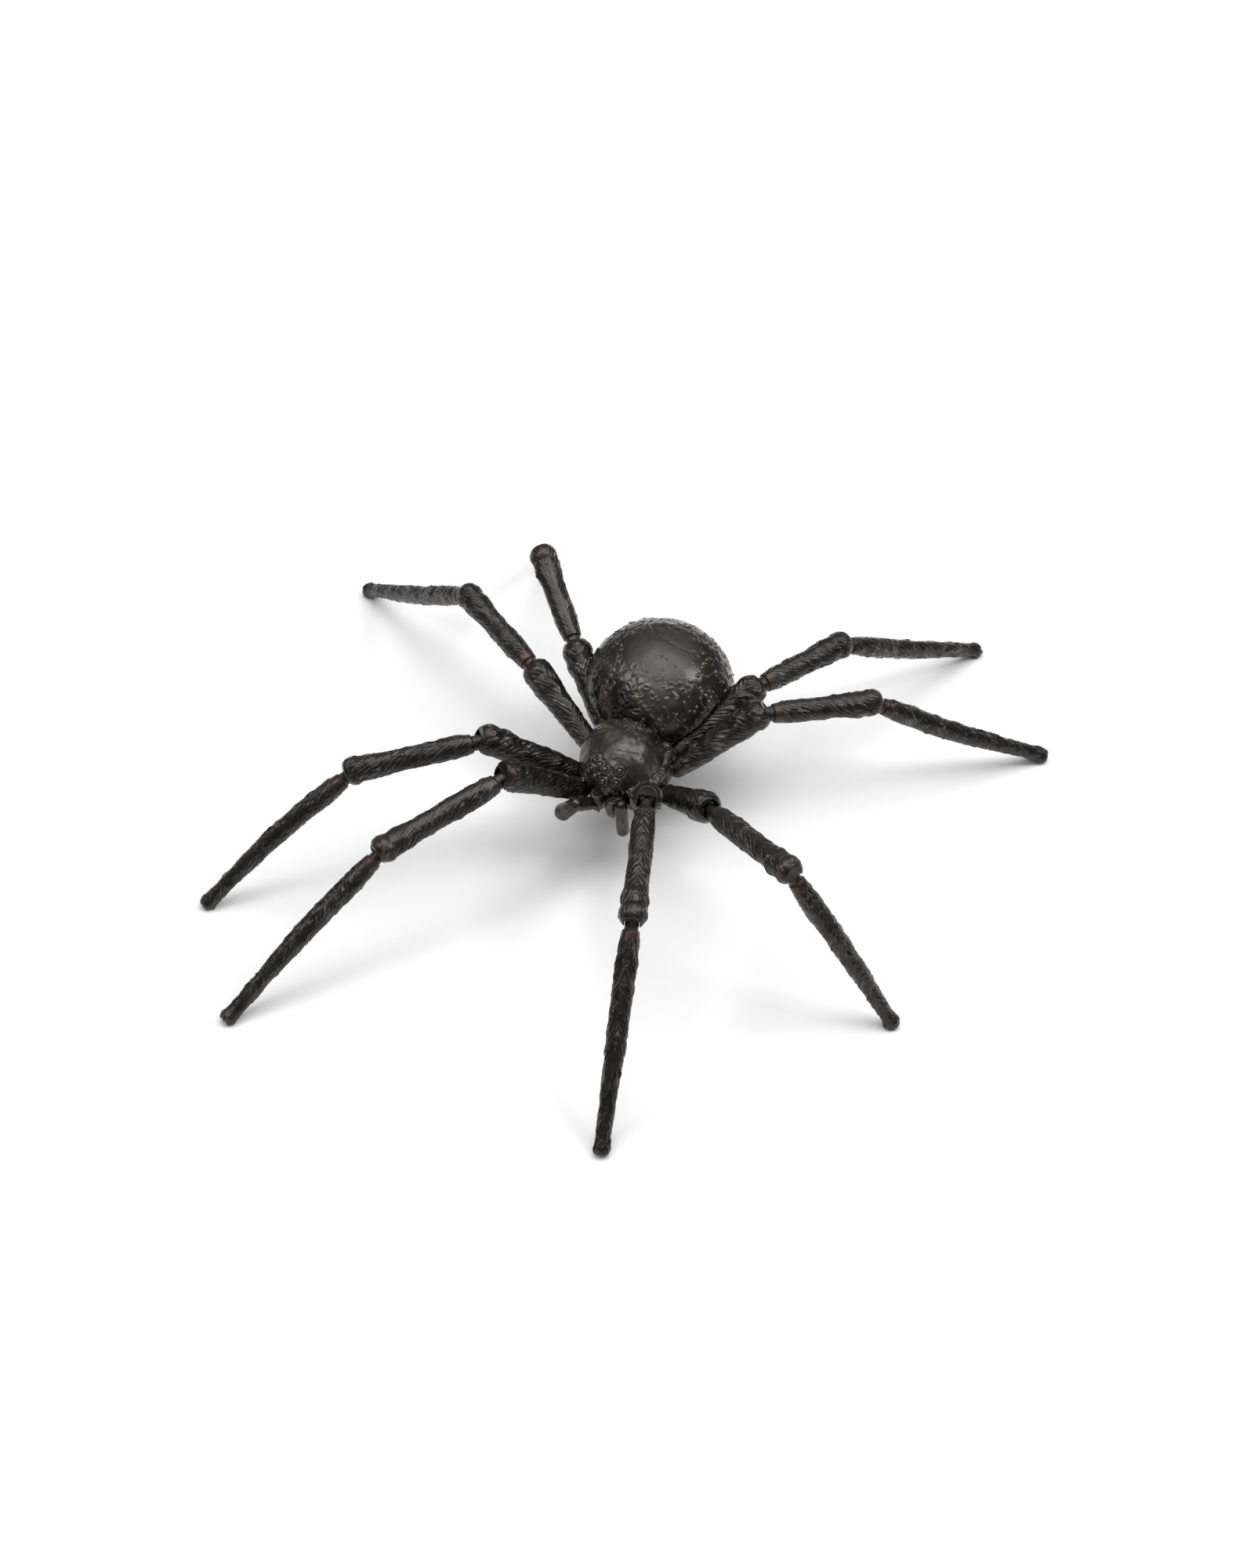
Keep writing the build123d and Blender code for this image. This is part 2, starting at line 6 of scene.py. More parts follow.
import bpy
import numpy as np
from mathutils import Matrix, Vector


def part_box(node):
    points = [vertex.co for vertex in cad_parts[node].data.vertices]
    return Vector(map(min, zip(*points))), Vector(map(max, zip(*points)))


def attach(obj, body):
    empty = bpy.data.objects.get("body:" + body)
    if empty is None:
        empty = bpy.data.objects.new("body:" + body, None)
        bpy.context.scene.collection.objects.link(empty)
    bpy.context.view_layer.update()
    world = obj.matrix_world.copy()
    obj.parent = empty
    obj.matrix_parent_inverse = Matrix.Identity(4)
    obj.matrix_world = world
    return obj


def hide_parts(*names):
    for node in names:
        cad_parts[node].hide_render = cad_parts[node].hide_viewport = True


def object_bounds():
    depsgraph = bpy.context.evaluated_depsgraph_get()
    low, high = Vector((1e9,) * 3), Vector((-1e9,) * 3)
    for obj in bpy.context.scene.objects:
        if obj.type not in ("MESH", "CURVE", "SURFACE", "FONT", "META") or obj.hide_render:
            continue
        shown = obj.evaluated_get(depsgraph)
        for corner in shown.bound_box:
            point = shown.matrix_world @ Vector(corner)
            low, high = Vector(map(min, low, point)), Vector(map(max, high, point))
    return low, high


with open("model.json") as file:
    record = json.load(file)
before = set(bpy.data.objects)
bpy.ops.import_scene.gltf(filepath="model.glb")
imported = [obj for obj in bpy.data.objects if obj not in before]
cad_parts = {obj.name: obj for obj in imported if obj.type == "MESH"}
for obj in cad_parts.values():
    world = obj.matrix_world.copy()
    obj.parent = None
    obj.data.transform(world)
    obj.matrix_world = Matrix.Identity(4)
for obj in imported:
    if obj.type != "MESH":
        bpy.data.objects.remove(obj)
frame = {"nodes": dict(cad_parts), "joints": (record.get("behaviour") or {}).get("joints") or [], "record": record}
cad_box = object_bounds()
record = frame["record"]
nodes = frame["nodes"]

# Lengths are in millimetres unless a name says otherwise; Blender's own unit is the metre.
MM = 0.001
COARSER = 1.0
LEG_VOXEL = 0.19 * COARSER
BODY_VOXEL = 0.20 * COARSER
SMALL_VOXEL = 0.12 * COARSER

KNEE_CUFF, SHIN_CUFF = 4.3, 3.85     # radius of each cuff, which is the reach of its hinge
COXA_LENGTH = 4.4                    # from the hip pin to the elbow of a femur
FOOT_RADIUS = 2.1

SIDES = ("right", "left")
LEG_NAMES = [f"{side}_leg_{pair}" for side in SIDES for pair in (1, 2, 3, 4)]


# ---------------------------------------------------------------- numbers
def unit(vector):
    return vector / np.linalg.norm(vector)


def ramp(values, low, high):
    """0 below low, 1 above high, and a smooth rise between them."""
    t = np.clip((values - low) / (high - low), 0, 1)
    return t * t * (3 - 2 * t)


def hashed(cells, seed):
    """Repeatable random numbers from 0 to 1, one for each row of whole numbers."""
    mixed = np.full(len(cells), seed * 7919 + 17, dtype=np.uint64)
    for column in cells.T:
        mixed ^= column.astype(np.int64).astype(np.uint64)
        mixed *= np.uint64(0x9E3779B97F4A7C15)
        mixed ^= mixed >> np.uint64(29)
    mixed *= np.uint64(0xBF58476D1CE4E5B9)
    mixed ^= mixed >> np.uint64(32)
    return (mixed >> np.uint64(40)).astype(float) / 2 ** 24


def noise(points, seed):
    """Smooth noise from -1 to 1 whose cells are one unit wide."""
    low = np.floor(points)
    part = points - low
    part = part * part * (3 - 2 * part)
    total = np.zeros(len(points))
    for corner in itertools.product((0, 1), repeat=points.shape[1]):
        weight = np.prod(np.where(corner, part, 1 - part), axis=1)
        total += weight * hashed(low + corner, seed)
    return 2 * total - 1


def pebbles(points, seed):
    """Distance to the nearest of one random point per unit cell, and that cell's own number."""
    low = np.floor(points)
    nearest = np.full(len(points), 9.0)
    number = np.zeros(len(points))
    for corner in itertools.product((-1, 0, 1), repeat=points.shape[1]):
        cell = low + corner
        jitter = [hashed(cell, seed + axis) for axis in range(points.shape[1])]
        distance = np.linalg.norm(cell + np.stack(jitter, axis=1) - points, axis=1)
        nearer = distance < nearest
        nearest[nearer] = distance[nearer]
        number[nearer] = hashed(cell, seed + 11)[nearer]
    return nearest, number


# ---------------------------------------------------------------- meshes
def vertices_of(mesh):
    flat = np.empty(3 * len(mesh.vertices))
    mesh.vertices.foreach_get("co", flat)
    return flat.reshape(-1, 3) / MM


def normals_of(mesh):
    flat = np.empty(3 * len(mesh.vertices))
    mesh.vertex_normals.foreach_get("vector", flat)
    return flat.reshape(-1, 3)


def move_vertices(mesh, points):
    mesh.vertices.foreach_set("co", (points * MM).ravel())
    mesh.update()


def store(mesh, name, values):
    kind = "FLOAT_VECTOR" if values.ndim == 2 else "FLOAT"
    field = "vector" if values.ndim == 2 else "value"
    attribute = mesh.attributes.new(name, kind, "POINT")
    attribute.data.foreach_set(field, values.astype(np.float32).ravel())


def recast(node, voxel, smoothing=3, edit=None):
    """Dense even copy of a CAD node's mesh, for sculpting. The copy stands for the node."""
    mesh = nodes[node].data.copy()
    mesh.materials.clear()
    if edit:
        move_vertices(mesh, edit(vertices_of(mesh)))
    piece = bpy.data.objects.new(node + "_cast", mesh)
    bpy.context.collection.objects.link(piece)
    remesh = piece.modifiers.new("remesh", "REMESH")
    remesh.mode = "VOXEL"
    remesh.voxel_size = voxel * MM
    smooth = piece.modifiers.new("smooth", "SMOOTH")
    smooth.iterations = smoothing
    smooth.factor = 0.5
    ready = piece.evaluated_get(bpy.context.evaluated_depsgraph_get())
    dense = bpy.data.meshes.new_from_object(ready)
    piece.modifiers.clear()
    piece.data = dense
    dense.shade_smooth()
    return piece


def finished(piece, node, body, material):
    piece.data.materials.clear()
    piece.data.materials.append(material)
    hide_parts(node)
    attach(piece, body)


# ---------------------------------------------------------------- materials
class Nodes:
    """Short way to write a node material."""

    def __init__(self, name):
        self.material = bpy.data.materials.new(name)
        self.material.use_nodes = True
        self.tree = self.material.node_tree
        self.shader = self.tree.nodes["Principled BSDF"]

    def add(self, kind, settings=None, **inputs):
        node = self.tree.nodes.new(kind)
        for key, value in (settings or {}).items():
            setattr(node, key, value)
        for key, value in inputs.items():
            self.put(node, key.replace("_", " "), value)
        return node

    def put(self, node, key, value):
        socket = node.inputs[int(key) if key.isdigit() else key]
        if isinstance(value, bpy.types.NodeSocket):
            self.tree.links.new(value, socket)
        else:
            socket.default_value = value

    def attribute(self, name, output="Fac"):
        return self.add("ShaderNodeAttribute", {"attribute_name": name}).outputs[output]

    def noise(self, vector, scale, detail=3.0, roughness=0.55):
        node = self.add("ShaderNodeTexNoise", Vector=vector, Scale=scale, Detail=detail,
                        Roughness=roughness)
        return node.outputs["Fac"]

    def math(self, operation, first, second):
        node = self.add("ShaderNodeMath", {"operation": operation})
        self.put(node, "0", first)
        self.put(node, "1", second)
        return node.outputs[0]

    def remap(self, value, low, high, to_low=0.0, to_high=1.0):
        node = self.add("ShaderNodeMapRange", {"clamp": True}, Value=value, From_Min=low,
                        From_Max=high, To_Min=to_low, To_Max=to_high)
        return node.outputs["Result"]

    def colours(self, value, *stops):
        node = self.add("ShaderNodeValToRGB", Fac=value)
        ends = node.color_ramp.elements
        while len(ends) < len(stops):
            ends.new(0.5)
        for element, (position, colour) in zip(ends, stops):
            element.position = position
            element.color = (*colour, 1)
        return node.outputs["Color"]

    def mix(self, factor, first, second):
        node = self.add("ShaderNodeMix", {"data_type": "RGBA"})
        self.put(node, "0", factor)
        self.put(node, "6", first)
        self.put(node, "7", (*second, 1))
        return node.outputs[2]

    def bump(self, height, distance, strength=1.0, normal=None):
        node = self.add("ShaderNodeBump", Height=height, Distance=distance * MM,
                        Strength=strength)
        if normal is not None:
            self.put(node, "Normal", normal)
        return node.outputs["Normal"]

    def finish(self, colour, roughness, normal, metallic, coat=0.0, coat_roughness=0.2,
               specular=0.5):
        self.put(self.shader, "Base Color", colour)
        self.put(self.shader, "Roughness", roughness)
        self.put(self.shader, "Normal", normal)
        self.shader.inputs["Metallic"].default_value = metallic
        self.shader.inputs["Specular IOR Level"].default_value = specular
        self.shader.inputs["Coat Weight"].default_value = coat
        self.shader.inputs["Coat Roughness"].default_value = coat_roughness
        return self.material


DEEP = (0.0035, 0.0028, 0.0022)
DARK = (0.020, 0.0172, 0.0135)
WORN = (0.170, 0.158, 0.132)
SKIN = (0.029, 0.0252, 0.0190)
POLISHED = (0.105, 0.096, 0.078)
RUSSET = (0.070, 0.034, 0.024)
# Violet-brown of the smooth patches, also laid on the tops of the abdomen, carapace and tibiae as a lighter
# painted sheen
VIOLET_AND_SHEEN = (0.056, 0.046, 0.041)


def fur_material():
    """Blackened bronze of the furry castings: worn on the strands, russet at the necks."""
    m = Nodes("blackened_bronze_fur")
    place = m.add("ShaderNodeTexCoord").outputs["Object"]
    relief = m.attribute("relief")
    hair = m.attribute("hair", "Vector")
    cloud = m.noise(place, 260.0, 4.0)
    fine = m.noise(hair, 1.0, 3.0, 0.6)
    height = m.math("ADD", relief, m.remap(fine, 0.3, 0.7, -0.22, 0.22))
    colour = m.colours(height, (0.28, DEEP), (0.62, DARK), (0.95, WORN))
    colour = m.mix(m.remap(cloud, 0.55, 0.76, 0.0, 0.45), colour, (0.034, 0.019, 0.014))
    # Painted sheen: the smooth top ridge of a tibia is coloured a lighter violet
    colour = m.mix(m.math("MULTIPLY", m.attribute("smooth"), 0.55), colour, VIOLET_AND_SHEEN)
    neck = m.math("MULTIPLY", m.attribute("neck"), m.remap(cloud, 0.36, 0.60, 0.15, 0.85))
    colour = m.mix(neck, colour, RUSSET)
    roughness = m.remap(m.noise(place, 900.0, 2.0), 0.3, 0.7, 0.15, 0.32)
    grain = m.noise(place, 3200.0, 2.0)
    normal = m.bump(fine, 0.10, 0.8)
    normal = m.bump(grain, 0.03, 0.6, normal)
    return m.finish(colour, roughness, normal, metallic=0.6, coat=0.10, coat_roughness=0.12,
                    specular=0.7)


def shell_material():
    """Blackened bronze of the body: glossy brown-grey, dark in its pits."""
    m = Nodes("blackened_bronze_shell")
    place = m.add("ShaderNodeTexCoord").outputs["Object"]
    relief = m.attribute("relief")
    cloud = m.noise(place, 110.0, 5.0, 0.6)
    speck = m.noise(place, 1500.0, 3.0, 0.7)
    colour = m.colours(relief, (0.14, DEEP), (0.50, SKIN), (1.0, POLISHED))
    colour = m.mix(m.remap(cloud, 0.46, 0.66, 0.0, 0.5), colour, (0.037, 0.027, 0.022))
    # Painted sheen: the smooth patch on top of the abdomen and the middle of the carapace's dome turn a lighter
    # violet-brown
    colour = m.mix(m.math("MULTIPLY", m.attribute("smooth"), 0.6), colour, VIOLET_AND_SHEEN)
    colour = m.mix(m.math("MULTIPLY", m.attribute("neck"), 0.7), colour, RUSSET)
    colour = m.mix(m.remap(speck, 0.66, 0.76, 0.0, 0.35), colour, (0.16, 0.15, 0.13))
    roughness = m.remap(m.noise(place, 420.0, 4.0), 0.3, 0.7, 0.14, 0.28)
    roughness = m.math("ADD", roughness, m.math("MULTIPLY", m.attribute("smooth"), 0.20))
    normal = m.bump(m.noise(place, 950.0, 4.0, 0.65), 0.14, 0.8)
    normal = m.bump(m.noise(place, 4200.0, 2.0), 0.02, 0.5, normal)
    return m.finish(colour, roughness, normal, metallic=0.65, coat=0.10, coat_roughness=0.20,
                    specular=0.8)


def metal_material(name, low, high, roughness, metallic=0.9):
    """Small turned hardware: brushed, with stains."""
    m = Nodes(name)
    place = m.add("ShaderNodeTexCoord").outputs["Object"]
    stain = m.noise(place, 700.0, 4.0)
    scratch = m.noise(place, 2600.0, 2.0)
    colour = m.colours(stain, (0.3, low), (0.7, high))
    rough = m.remap(scratch, 0.3, 0.7, roughness - 0.08, roughness + 0.1)
    return m.finish(colour, rough, m.bump(scratch, 0.015, 0.6), metallic)


def eye_material():
    m = Nodes("gloss_eye")
    place = m.add("ShaderNodeTexCoord").outputs["Object"]
    stain = m.noise(place, 900.0, 3.0)
    colour = m.colours(stain, (0.3, (0.010, 0.007, 0.006)), (0.7, (0.026, 0.018, 0.015)))
    normal = m.bump(m.noise(place, 1400.0), 0.02, 0.4)
    rough = m.remap(stain, 0.3, 0.7, 0.10, 0.22)
    return m.finish(colour, rough, normal, metallic=0.2, coat=0.8, coat_roughness=0.06)


FUR = fur_material()
SHELL = shell_material()
PIN = metal_material("pin_bronze", (0.022, 0.016, 0.012), (0.085, 0.055, 0.040), 0.36)
STEEL = metal_material("oiled_steel", (0.05, 0.045, 0.042), (0.15, 0.14, 0.13), 0.34)
EYE = eye_material()


# ---------------------------------------------------------------- leg castings
class Casting:
    """Line of a casting from one pin to the next, with its hinge pins along side."""

    def __init__(self, start, end, pin_axis):
        self.start = start
        self.length = np.linalg.norm(end - start)
        self.along = unit(end - start)
        self.up = unit(np.cross(self.along, pin_axis))
        self.side = np.cross(self.up, self.along)

    def measure(self, points):
        """Distance along the line and angle from the top."""
        offset = points - self.start
        return offset @ self.along, np.arctan2(offset @ self.side, offset @ self.up)

    def radial(self, points):
        offset = points - self.start
        return unit_rows(offset - np.outer(offset @ self.along, self.along))


def unit_rows(vectors):
    return vectors / np.maximum(np.linalg.norm(vectors, axis=1), 1e-9)[:, None]


def strands(along, around, width, length, seed):
    """Height from 0 to 1 of overlapping tufts of hair, each highest just before its tip."""
    row = np.floor(around / width)
    rows = np.stack([row, np.zeros_like(row)], axis=1)
    phase = along / length + hashed(rows, seed)
    tuft = np.floor(phase)
    travel = phase - tuft
    own = hashed(np.stack([row, tuft], axis=1), seed + 3)
    across = np.sin(math.pi * (around / width - row))
    rise = travel ** 0.9 * np.clip((1 - travel) / 0.14, 0, 1)
    return across ** 0.7 * (0.3 + 0.7 * rise) * (0.4 + 0.6 * own)


def fur(points, casting, seed, tilt_degrees):
    """Tuft height, and the hair's own coordinates, which run along and across the strands."""
    s, angle = casting.measure(points)
    girth = np.abs(angle) * 3.0
    warp = noise(points / 2.6, seed) * 0.6 + noise(points / 7.0, seed + 2) * 0.9
    tilt = math.radians(tilt_degrees)
    run = s * math.cos(tilt) + girth * math.sin(tilt)
    row = girth * math.cos(tilt) - s * math.sin(tilt) + warp
    coarse = strands(run, row, 1.05, 7.0, seed)
    fine = strands(run, row + 0.3, 0.55, 3.4, seed + 20)
    hair = np.stack([run * 0.5, row * 6.0, np.full_like(run, seed * 3.7)], axis=1)
    return 0.66 * coarse + 0.34 * fine, hair


LEG_LOOK = {                         # strand tilt, height of the fur, bow of the metatarsus
    "right_leg_1": (34, 0.62, 0.9), "right_leg_2": (30, 0.58, 1.3),
    "right_leg_3": (30, 0.56, -0.6), "right_leg_4": (28, 0.54, 0.6),
    "left_leg_1": (26, 0.58, 0.8), "left_leg_2": (34, 0.62, 1.2),
    "left_leg_3": (30, 0.56, -1.0), "left_leg_4": (30, 0.54, -0.6),
}


def sculpt_casting(node, body, casting, fur_from, fur_to, seed, look, glossy=0.0, bow=0.0):
    """Furry skin of a leg casting between two places along it, plain in its hinges."""
    tilt, height, _ = look
    piece = recast(node, LEG_VOXEL)
    mesh = piece.data
    points, normals = vertices_of(mesh), normals_of(mesh)
    s, angle = casting.measure(points)
    radial = casting.radial(points)
    outside = ramp(np.sum(normals * radial, axis=1), 0.25, 0.6)
    here = ramp(s, fur_from, fur_from + 1.6) * (1 - ramp(s, fur_to - 0.5, fur_to + 0.4))
    tuft, hair = fur(points, casting, seed, tilt)
    ridge = np.exp(-((np.abs(angle) / 0.5) ** 2))
    # Calmer fur along the top ridge, which is also coloured a lighter violet as a painted sheen
    calm_and_sheen = glossy * ridge
    lumps = noise(points / 3.8, seed + 5) * 0.16 + noise(points / 1.7, seed + 6) * 0.07
    clump, number = pebbles(np.stack([s / 4.2, angle * 1.3], axis=1), seed + 8)
    clump = np.where(number > 0.6, ramp(-clump, -0.50, -0.05), 0) * 0.22
    flare = np.exp(-(((s - fur_to + 7.0) / 2.4) ** 2))
    flare *= 0.48 + 0.2 * noise(points / 1.6, seed + 7)
    cover = here * outside * (1 - 0.75 * calm_and_sheen)
    rise = cover * (height * (tuft - 0.4) + lumps + (clump + flare) * (1 - calm_and_sheen))
    points += normals * rise[:, None]
    if bow:
        lift = bow * np.sin(math.pi * np.clip(s / casting.length, 0, 1)) ** 2
        points += np.outer(lift, casting.up)
    points[:, 2] = np.maximum(points[:, 2], 0)
    move_vertices(mesh, points)
    wear = 0.3 + cover * 0.7 * np.clip(tuft * 1.05 - 0.1 + lumps * 1.4, -0.2, 1)
    wear -= 0.2 * (1 - here)
    neck = np.exp(-(((s - fur_from) / 1.6) ** 2))
    rim = np.exp(-(((s - fur_to + 0.6) / 0.9) ** 2)) * 0.4
    store(mesh, "relief", wear)
    store(mesh, "hair", hair)
    store(mesh, "neck", np.clip(neck + rim, 0, 1))
    # The calm top ridge is stored as where the lighter painted sheen goes
    store(mesh, "smooth", calm_and_sheen)
    finished(piece, node, body, FUR)


def joint(name):
    found = next(j for j in frame["joints"] if j["name"] == name)
    return np.array(found["pos_m"]) / MM, unit(np.array(found["axis"], float))


def foot(name):
    mount = next(m for m in record["mounts"] if m["name"] == name + "_foot")
    return np.array(mount["pos_m"]) / MM + (0, 0, FOOT_RADIUS * 0.87)


def sculpt_leg(name, seed):
    short = name.replace("_leg_", "_")
    hip, _ = joint(short + "_swing")
    knee, pin_axis = joint(short + "_knee")
    shin, _ = joint(short + "_shin")
    level = unit(np.cross(pin_axis, (0, 0, 1)))
    level = level * np.sign(level @ (knee - hip))
    elbow = hip + COXA_LENGTH * level
    look = LEG_LOOK[name]

    rising = Casting(elbow, knee, pin_axis)
    sculpt_casting(name + "_femur", name + "_femur_body", rising, 1.5,
                   rising.length + 2.4, seed, look)
    middle = Casting(knee, shin, pin_axis)
    sculpt_casting(name + "_tibia", name + "_tibia_body", middle, KNEE_CUFF + 1.4,
                   middle.length + 2.2, seed + 30, look, glossy=0.9 if seed % 3 == 1 else 0.35)
    last = Casting(shin, foot(name), pin_axis)
    sculpt_casting(name + "_metatarsus", name + "_metatarsus_body", last, SHIN_CUFF + 1.4,
                   last.length + 9, seed + 60, look, bow=look[2])


for index, leg_name in enumerate(LEG_NAMES):
    sculpt_leg(leg_name, 100 + 100 * index)


# ---------------------------------------------------------------- abdomen
def node_box(*names):
    boxes = [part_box(name) for name in names]
    low = np.min([np.array(box[0]) for box in boxes], axis=0) / MM
    high = np.max([np.array(box[1]) for box in boxes], axis=0) / MM
    return low, high


SHELLS = ("abdomen_upper_shell", "abdomen_lower_shell")
abdomen_low, abdomen_high = node_box(*SHELLS)
abdomen_half = (abdomen_high - abdomen_low) / 2
abdomen_middle = (abdomen_high + abdomen_low) / 2
SEAM_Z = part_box("abdomen_upper_shell")[0][2] / MM
SEAM_OVERLAP = 0.12
RECESS_TONE = 0.42                   # plain relief value inside the shells and their recesses


def towards(directions, x, y, z, inner, outer):
    """1 near a direction from the abdomen's middle, fading to 0 between two angles."""
    cosine = directions @ unit(np.array([x, y, z]))
    return ramp(-np.degrees(np.arccos(np.clip(cosine, -1, 1))), -outer, -inner)


def abdomen_relief(points):
    """Height of the cast skin: pebbles, ringed dimples, pores, a crease and fine ridges."""
    directions = unit_rows((points - abdomen_middle) / abdomen_half)
    bent = points + 0.8 * np.stack([noise(points / 1.9, seed) for seed in (25, 26, 27)], axis=1)
    # Smooth violet-brown patch on top, also coloured lighter there as a painted sheen
    patch = towards(directions, 0.08, -0.12, 0.99, 20, 38)
    ringed = towards(directions, -0.30, -0.68, 0.66, 16, 36)
    ridged = towards(directions, -0.14, 0.45, 0.88, 12, 34)
    pebbly = 1 - np.clip(patch + 0.7 * ridged, 0, 1)

    near, number = pebbles(bent / 1.55, 31)
    grain = ramp(-near, -0.5, -0.1) * (0.25 + 0.75 * number)
    near, number = pebbles(bent / 2.6, 37)
    dimple = ramp(-near, -0.30, -0.10)
    ring = np.exp(-(((near - 0.37) / 0.10) ** 2)) * (0.4 + 0.6 * number)
    near, number = pebbles(points / 2.0, 41)
    pore = np.where(number > 0.35, ramp(-near, -0.20, -0.05), 0)

    slope = np.arccos(np.clip(directions @ unit(np.array([0.25, 0.55, 0.8])), -1, 1))
    crease = np.exp(-((np.degrees(slope) - 33 - 3 * noise(points / 6, 43)) / 1.3) ** 2)
    waver = 3.5 * noise(points / 3.0, 47) + 3 * noise(points / 9, 48)
    crackle = np.sin(np.degrees(slope) * 0.8 + waver)
    lumps = noise(points / 5.5, 51) * 0.5 + noise(points / 2.4, 53) * 0.35

    height = 0.42 * grain * pebbly * (1 - 0.6 * ringed) + 0.40 * lumps * (1 - 0.7 * patch)
    height += (0.26 * ring - 0.34 * dimple) * np.clip(0.1 + ringed - 0.6 * patch, 0, 1)
    height -= 0.24 * pore * (0.3 + 0.7 * patch)
    height -= 0.22 * crease * (0.3 + 0.7 * ridged)
    height += 0.07 * crackle * ridged
    return height, patch


def close_seam(points):
    """Points of a shell, with those at the seam moved a little past it so that it closes."""
    upper = points[:, 2].max() > SEAM_Z + 5
    at_seam = np.abs(points[:, 2] - SEAM_Z) < 0.01
    points[at_seam, 2] += -SEAM_OVERLAP if upper else SEAM_OVERLAP
    return points


def sculpt_abdomen(node):
    piece = recast(node, BODY_VOXEL, 4, close_seam)
    mesh = piece.data
    points = vertices_of(mesh)
    reach = np.linalg.norm((points - abdomen_middle) / abdomen_half, axis=1)
    skin = ramp(reach, 0.965, 0.985)
    height, patch = abdomen_relief(points)
    outward = unit_rows((points - abdomen_middle) / abdomen_half ** 2)
    points += outward * (skin * height)[:, None]
    move_vertices(mesh, points)
    tone = np.clip(0.45 + height * 1.6, 0, 1)
    store(mesh, "relief", RECESS_TONE + skin * (tone - RECESS_TONE))
    # Painted sheen: the top patch is stored as where the lighter violet goes
    store(mesh, "smooth", patch * skin)
    store(mesh, "neck", 0.35 * ramp(noise(points / 6.5, 59), 0.35, 0.7))
    finished(piece, node, "trunk", SHELL)


for shell in SHELLS:
    sculpt_abdomen(shell)


# ---------------------------------------------------------------- trunk castings
def loose_centres(node):
    """Middle of each separate solid in a node."""
    mesh = nodes[node].data
    points = vertices_of(mesh)
    edges = np.array([edge.vertices[:] for edge in mesh.edges])
    rounded = np.round(points, 3)
    _, same = np.unique(rounded, axis=0, return_inverse=True)
    same = same.ravel()
    group = np.arange(same.max() + 1)
    changed = True
    while changed:
        a, b = group[same[edges[:, 0]]], group[same[edges[:, 1]]]
        least = np.minimum(a, b)
        before = group.copy()
        np.minimum.at(group, same[edges[:, 0]], least)
        np.minimum.at(group, same[edges[:, 1]], least)
        group = group[group]
        changed = not np.array_equal(before, group)
    labels = group[same]
    return [points[labels == label].mean(axis=0) for label in np.unique(labels)]


EYES = loose_centres("eye_beads")
carapace_low, carapace_high = node_box("carapace")
carapace_middle = (carapace_low + carapace_high) / 2


def sculpt_carapace():
    piece = recast("carapace", SMALL_VOXEL * 1.25, 3)
    mesh = piece.data
    points, normals = vertices_of(mesh), normals_of(mesh)
    offset = points - carapace_middle
    top = ramp(normals[:, 2], -0.1, 0.25)
    rear = ramp(offset[:, 1], 2.0, 8.0)
    front = ramp(-offset[:, 1], 3.0, 8.0)
    rim = ramp(-points[:, 2], -carapace_low[2] - 2.6, -carapace_low[2] - 1.2)

    bearing = np.arctan2(offset[:, 0], offset[:, 1] - 3.0)
    grooves = np.cos(bearing * 6) ** 8 * ramp(np.hypot(offset[:, 0], offset[:, 1]), 4.0, 8.5)
    cut = offset[:, 1] + 3.6 - 0.045 * offset[:, 0] ** 2 + 0.5 * noise(points / 4, 61)
    crease = np.exp(-((cut / 0.42) ** 2)) * ramp(-np.abs(offset[:, 0]), -8.0, -4.0)
    near, _ = pebbles(points / 1.15, 63)
    pits = ramp(-near, -0.42, -0.12)
    lumps = noise(points / 3.4, 67) * 0.22 + noise(points / 1.3, 69) * 0.09
    rough = np.clip(rear + rim + 0.35 * front, 0, 1)

    height = lumps - 0.08 * crease - 0.13 * grooves * (1 - front)
    height += (0.12 - 0.34 * pits) * rough
    for centre in EYES:
        away = np.linalg.norm(points - centre, axis=1)
        height += 0.26 * np.exp(-(((away - 1.15) / 0.26) ** 2))
        height -= 0.16 * np.exp(-(((away - 1.75) / 0.25) ** 2))
    points += normals * (top * height)[:, None]
    move_vertices(mesh, points)
    # Faces that turn downwards get a darker tone, a painted shade under the carapace
    store(mesh, "relief", np.clip(0.45 + height * 1.7, 0, 1) * (0.3 + 0.7 * top))
    # Painted highlight: the smooth middle of the dome's upward faces is coloured a lighter violet
    store(mesh, "smooth", top * (1 - rough) * 0.6)
    store(mesh, "neck", 0.6 * rim * ramp(noise(points / 2.5, 71), 0.0, 0.5))
    finished(piece, "carapace", "trunk", SHELL)


def sculpt_small(node, seed, relief=0.12, scale=1.1, voxel=SMALL_VOXEL):
    """Pebbled, slightly lumpy skin of a small casting of the trunk."""
    piece = recast(node, voxel, 2)
    mesh = piece.data
    points, normals = vertices_of(mesh), normals_of(mesh)
    near, _ = pebbles(points / scale, seed)
    height = relief * (noise(points / (2 * scale), seed + 1) + 0.6 - ramp(-near, -0.45, -0.1))
    points += normals * height[:, None]
    move_vertices(mesh, points)
    store(mesh, "relief", np.clip(0.4 + height * 2.2, 0, 1))
    store(mesh, "smooth", np.zeros(len(points)))
    store(mesh, "neck", 0.3 * ramp(noise(points / 2.0, seed + 2), 0.1, 0.5))
    finished(piece, node, "trunk", SHELL)


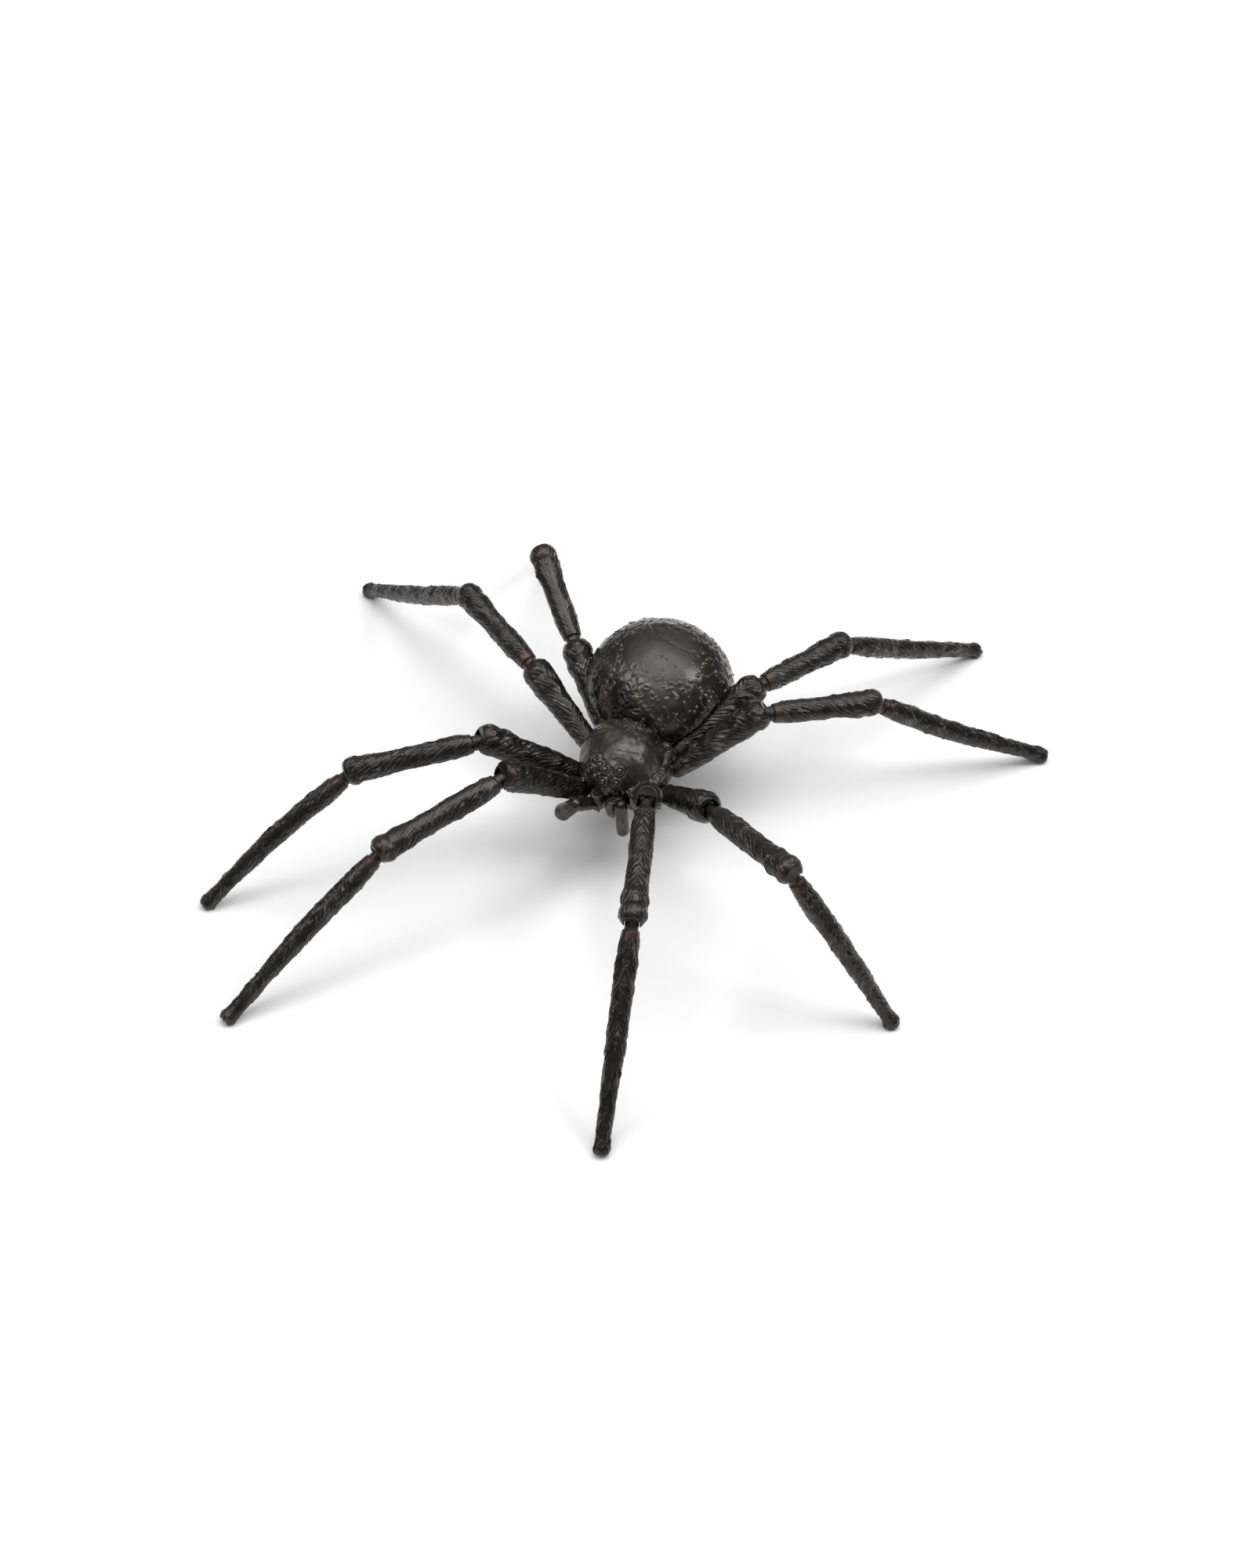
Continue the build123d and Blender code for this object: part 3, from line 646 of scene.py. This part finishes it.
sculpt_carapace()
for number, small in enumerate(("right_chelicera", "left_chelicera", "right_palp", "left_palp",
                                "spinnerets")):
    sculpt_small(small, 201 + 10 * number)
sculpt_small("sternum_plate", 271, relief=0.06, scale=1.6, voxel=0.17 * COARSER)


def give(material, *names):
    """Set the material of CAD nodes that are shown as they are."""
    for name in names:
        for slot in nodes[name].material_slots:
            slot.link = "OBJECT"
            slot.material = material


give(PIN, "hip_pins", "right_fang", "left_fang",
     *[f"{name}_{pin}" for name in LEG_NAMES for pin in ("knee_pin", "shin_pin")])
give(STEEL, "sternum_screws", "pedicel_stud", "pedicel_nut")
give(EYE, "eye_beads")


# ---------------------------------------------------------------- studio
VIEW = (19, 47)                      # azimuth and elevation of the camera, in degrees
AIM_SHIFT = (-0.0001, 0.0077)        # metres from the middle of the part to the aim point
AIM_HEIGHT = 0.025
FRAMING = (-0.00049, -0.00634)       # metres that the camera moves right and up
LENS = 84.5
LAMP_UP = (0, 1, 0.001)              # up hint of the lamps, which may stand straight overhead
FLOOR_HALF = 4.0


def direction(azimuth, elevation):
    """Unit vector from the object towards a viewer; azimuth 0 is in front, towards -Y."""
    a, e = math.radians(azimuth), math.radians(elevation)
    return np.array([math.sin(a) * math.cos(e), -math.cos(a) * math.cos(e), math.sin(e)])


def matrix_facing(position, back, up_hint=(0, 0, 1)):
    """Matrix of a camera or lamp that looks away from its back vector."""
    right = unit(np.cross(up_hint, back))
    up = np.cross(back, right)
    rows = [[right[i], up[i], back[i], position[i]] for i in range(3)]
    return Matrix(rows + [[0, 0, 0, 1]])


def add_camera():
    """Camera one metre from its aim point."""
    back = direction(*VIEW)
    right = unit(np.cross((0, 0, 1), back))
    up = np.cross(back, right)
    middle = (np.array(cad_box[0]) + np.array(cad_box[1])) / 2
    aim = np.array([middle[0] + AIM_SHIFT[0], middle[1] + AIM_SHIFT[1], AIM_HEIGHT])
    position = aim + back + FRAMING[0] * right + FRAMING[1] * up
    camera = bpy.data.objects.new("camera", bpy.data.cameras.new("camera"))
    camera.data.lens = LENS
    camera.data.sensor_width = 36
    camera.data.clip_start = 0.01
    camera.matrix_world = matrix_facing(position, back)
    bpy.context.collection.objects.link(camera)
    bpy.context.scene.camera = camera


def add_softbox(name, azimuth, elevation, distance, width, height, watts):
    """Rectangular lamp aimed at the origin; its distance and sides are in metres."""
    light = bpy.data.lights.new(name, "AREA")
    light.shape = "RECTANGLE"
    light.size, light.size_y = width, height
    light.energy = watts
    back = direction(azimuth, elevation)
    lamp = bpy.data.objects.new(name, light)
    lamp.matrix_world = matrix_facing(back * distance, back, LAMP_UP)
    bpy.context.collection.objects.link(lamp)


def add_floor():
    mesh = bpy.data.meshes.new("floor")
    half = FLOOR_HALF
    corners = [(-half, -half, 0), (half, -half, 0), (half, half, 0), (-half, half, 0)]
    mesh.from_pydata(corners, [], [(0, 1, 2, 3)])
    floor = bpy.data.objects.new("floor", mesh)
    bpy.context.collection.objects.link(floor)
    m = Nodes("pale_paper")
    place = m.add("ShaderNodeTexCoord").outputs["Object"]
    tone = m.noise(place, 6.0, 2.0)
    colour = m.colours(tone, (0.3, (0.93, 0.93, 0.93)), (0.7, (0.95, 0.95, 0.95)))
    grain = m.bump(m.noise(place, 900.0), 0.02, 0.2)
    mesh.materials.append(m.finish(colour, 0.9, grain, metallic=0.0))


def add_world():
    """White studio, bright overhead and dim at the horizon."""
    world = bpy.data.worlds.new("studio")
    world.use_nodes = True
    tree = world.node_tree
    background = tree.nodes["Background"]
    background.inputs["Color"].default_value = (1, 1, 1, 1)
    place = tree.nodes.new("ShaderNodeTexCoord")
    parts = tree.nodes.new("ShaderNodeSeparateXYZ")
    fade = tree.nodes.new("ShaderNodeMapRange")
    for key, value in (("From Max", 0.7), ("To Min", 0.06), ("To Max", 0.50)):
        fade.inputs[key].default_value = value
    tree.links.new(place.outputs["Generated"], parts.inputs["Vector"])
    tree.links.new(parts.outputs["Z"], fade.inputs["Value"])
    tree.links.new(fade.outputs["Result"], background.inputs["Strength"])
    bpy.context.scene.world = world


bpy.context.scene.view_settings.view_transform = "Standard"
add_camera()
add_world()
add_floor()
add_softbox("overhead", 190, 80, 2.0, 1.6, 1.6, 24.5)
add_softbox("right_rear", 108, 52, 0.9, 0.22, 0.36, 2.4)
add_softbox("left_front", -60, 50, 1.0, 0.20, 0.30, 1.4)
